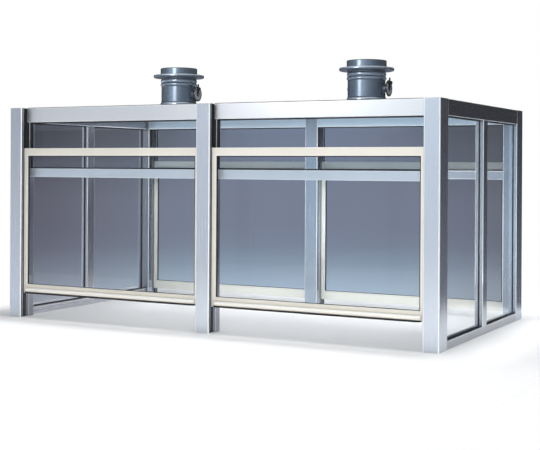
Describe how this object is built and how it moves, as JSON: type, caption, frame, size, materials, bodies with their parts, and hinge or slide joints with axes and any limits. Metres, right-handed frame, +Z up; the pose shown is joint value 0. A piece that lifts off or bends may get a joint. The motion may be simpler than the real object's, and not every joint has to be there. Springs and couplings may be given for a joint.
{
  "type": "fume hood",
  "caption": "Free-standing double-bay fume hood with an aluminium frame, tinted panes, counterweighted sliding sashes front and rear, and round roof dampers.",
  "frame": {"origin": "centre of the footprint on the floor", "axes": "+X to the right along the width, +Y from the front to the rear, +Z up"},
  "size_m": [2.44, 1.32, 1.368],
  "materials": {
    "anodised_aluminium": "satin anodised",
    "tinted_glass": "clear, grey-blue tint",
    "cream_sash_profile": "satin",
    "roof_sheet": "matt sheet",
    "grey_damper_plastic": "satin moulded",
    "dial_plate": "brushed",
    "black_plastic": "moulded",
    "counterweight_iron": "cast",
    "pulley_nylon": "moulded"
  },
  "bodies": {
    "frame": {"post_front_left": "anodised_aluminium", "post_front_middle": "anodised_aluminium", "post_front_right": "anodised_aluminium", "post_rear_left": "anodised_aluminium", "post_rear_middle": "anodised_aluminium", "post_rear_right": "anodised_aluminium", "top_rail_front_left": "anodised_aluminium", "crossbar_front_left": "anodised_aluminium", "upper_pane_front_left": "tinted_glass", "top_rail_front_right": "anodised_aluminium", "crossbar_front_right": "anodised_aluminium", "upper_pane_front_right": "tinted_glass", "top_rail_rear_left": "anodised_aluminium", "crossbar_rear_left": "anodised_aluminium", "upper_pane_rear_left": "tinted_glass", "top_rail_rear_right": "anodised_aluminium", "crossbar_rear_right": "anodised_aluminium", "upper_pane_rear_right": "tinted_glass", "top_rail_side_left": "anodised_aluminium", "bottom_rail_side_left": "anodised_aluminium", "mullion_side_left": "anodised_aluminium", "side_pane_left_front": "tinted_glass", "side_pane_left_rear": "tinted_glass", "damper_body_left": "grey_damper_plastic", "damper_dial_left": "dial_plate", "top_rail_side_right": "anodised_aluminium", "bottom_rail_side_right": "anodised_aluminium", "mullion_side_right": "anodised_aluminium", "side_pane_right_front": "tinted_glass", "side_pane_right_rear": "tinted_glass", "damper_body_right": "grey_damper_plastic", "damper_dial_right": "dial_plate", "roof_panel": "roof_sheet", "roof_beam": "anodised_aluminium"},
    "sash_front_left": {"sash_frame_front_left": "cream_sash_profile", "sash_pane_front_left": "tinted_glass", "sash_handle_front_left": "cream_sash_profile"},
    "counterweight_front_left": {"counterweight_front_left": "counterweight_iron"},
    "pulley_front_left": {"pulley_front_left": "pulley_nylon"},
    "sash_front_right": {"sash_frame_front_right": "cream_sash_profile", "sash_pane_front_right": "tinted_glass", "sash_handle_front_right": "cream_sash_profile"},
    "counterweight_front_right": {"counterweight_front_right": "counterweight_iron"},
    "pulley_front_right": {"pulley_front_right": "pulley_nylon"},
    "sash_rear_left": {"sash_frame_rear_left": "cream_sash_profile", "sash_pane_rear_left": "tinted_glass", "sash_handle_rear_left": "cream_sash_profile"},
    "counterweight_rear_left": {"counterweight_rear_left": "counterweight_iron"},
    "pulley_rear_left": {"pulley_rear_left": "pulley_nylon"},
    "sash_rear_right": {"sash_frame_rear_right": "cream_sash_profile", "sash_pane_rear_right": "tinted_glass", "sash_handle_rear_right": "cream_sash_profile"},
    "counterweight_rear_right": {"counterweight_rear_right": "counterweight_iron"},
    "pulley_rear_right": {"pulley_rear_right": "pulley_nylon"},
    "damper_left_blade": {"damper_blade_left": "grey_damper_plastic", "damper_lever_left": "black_plastic"},
    "damper_left_lock": {"damper_lock_knob_left": "black_plastic"},
    "damper_right_blade": {"damper_blade_right": "grey_damper_plastic", "damper_lever_right": "black_plastic"},
    "damper_right_lock": {"damper_lock_knob_right": "black_plastic"}
  },
  "joints": [
    {"name": "sash_front_left_lift", "type": "slide", "parent": "frame", "child": "sash_front_left", "axis": [0, 0, 1], "range_m": [-0.126, 0.54]},
    {"name": "counterweight_front_left_drop", "type": "slide", "parent": "frame", "child": "counterweight_front_left", "axis": [0, 0, 1], "range_m": [-0.542, 0.128]},
    {"name": "pulley_front_left_spin", "type": "hinge", "parent": "frame", "child": "pulley_front_left", "pos_m": [-1.187, -0.606, 1.082], "axis": [0, 1, 0], "range_deg": [-1721, 404]},
    {"name": "sash_front_right_lift", "type": "slide", "parent": "frame", "child": "sash_front_right", "axis": [0, 0, 1], "range_m": [-0.126, 0.54]},
    {"name": "counterweight_front_right_drop", "type": "slide", "parent": "frame", "child": "counterweight_front_right", "axis": [0, 0, 1], "range_m": [-0.542, 0.128]},
    {"name": "pulley_front_right_spin", "type": "hinge", "parent": "frame", "child": "pulley_front_right", "pos_m": [1.187, -0.606, 1.082], "axis": [0, 1, 0], "range_deg": [-404, 1721]},
    {"name": "sash_rear_left_lift", "type": "slide", "parent": "frame", "child": "sash_rear_left", "axis": [0, 0, 1], "range_m": [-0.038, 0.628]},
    {"name": "counterweight_rear_left_drop", "type": "slide", "parent": "frame", "child": "counterweight_rear_left", "axis": [0, 0, 1], "range_m": [-0.63, 0.04]},
    {"name": "pulley_rear_left_spin", "type": "hinge", "parent": "frame", "child": "pulley_rear_left", "pos_m": [-1.187, 0.606, 1.082], "axis": [0, 1, 0], "range_deg": [-2001, 123]},
    {"name": "sash_rear_right_lift", "type": "slide", "parent": "frame", "child": "sash_rear_right", "axis": [0, 0, 1], "range_m": [-0.038, 0.628]},
    {"name": "counterweight_rear_right_drop", "type": "slide", "parent": "frame", "child": "counterweight_rear_right", "axis": [0, 0, 1], "range_m": [-0.63, 0.04]},
    {"name": "pulley_rear_right_spin", "type": "hinge", "parent": "frame", "child": "pulley_rear_right", "pos_m": [1.187, 0.606, 1.082], "axis": [0, 1, 0], "range_deg": [-123, 2001]},
    {"name": "damper_left_turn", "type": "hinge", "parent": "frame", "child": "damper_left_blade", "pos_m": [-0.577, 0.018, 1.222], "axis": [1, 0, 0], "range_deg": [0, 90]},
    {"name": "damper_left_lock_turn", "type": "hinge", "parent": "damper_left_blade", "child": "damper_left_lock", "pos_m": [-0.447, 0.018, 1.25], "axis": [1, 0, 0], "range_deg": [0, 270]},
    {"name": "damper_right_turn", "type": "hinge", "parent": "frame", "child": "damper_right_blade", "pos_m": [0.577, 0.018, 1.222], "axis": [1, 0, 0], "range_deg": [0, 90]},
    {"name": "damper_right_lock_turn", "type": "hinge", "parent": "damper_right_blade", "child": "damper_right_lock", "pos_m": [0.707, 0.018, 1.25], "axis": [1, 0, 0], "range_deg": [0, 270]}
  ],
  "couplings": [
    {"joint": "counterweight_front_left_drop", "follows": "sash_front_left_lift", "ratio": -1},
    {"joint": "pulley_front_left_spin", "follows": "sash_front_left_lift", "rad_per_m": -55.556},
    {"joint": "counterweight_front_right_drop", "follows": "sash_front_right_lift", "ratio": -1},
    {"joint": "pulley_front_right_spin", "follows": "sash_front_right_lift", "rad_per_m": 55.556},
    {"joint": "counterweight_rear_left_drop", "follows": "sash_rear_left_lift", "ratio": -1},
    {"joint": "pulley_rear_left_spin", "follows": "sash_rear_left_lift", "rad_per_m": -55.556},
    {"joint": "counterweight_rear_right_drop", "follows": "sash_rear_right_lift", "ratio": -1},
    {"joint": "pulley_rear_right_spin", "follows": "sash_rear_right_lift", "rad_per_m": 55.556}
  ]
}
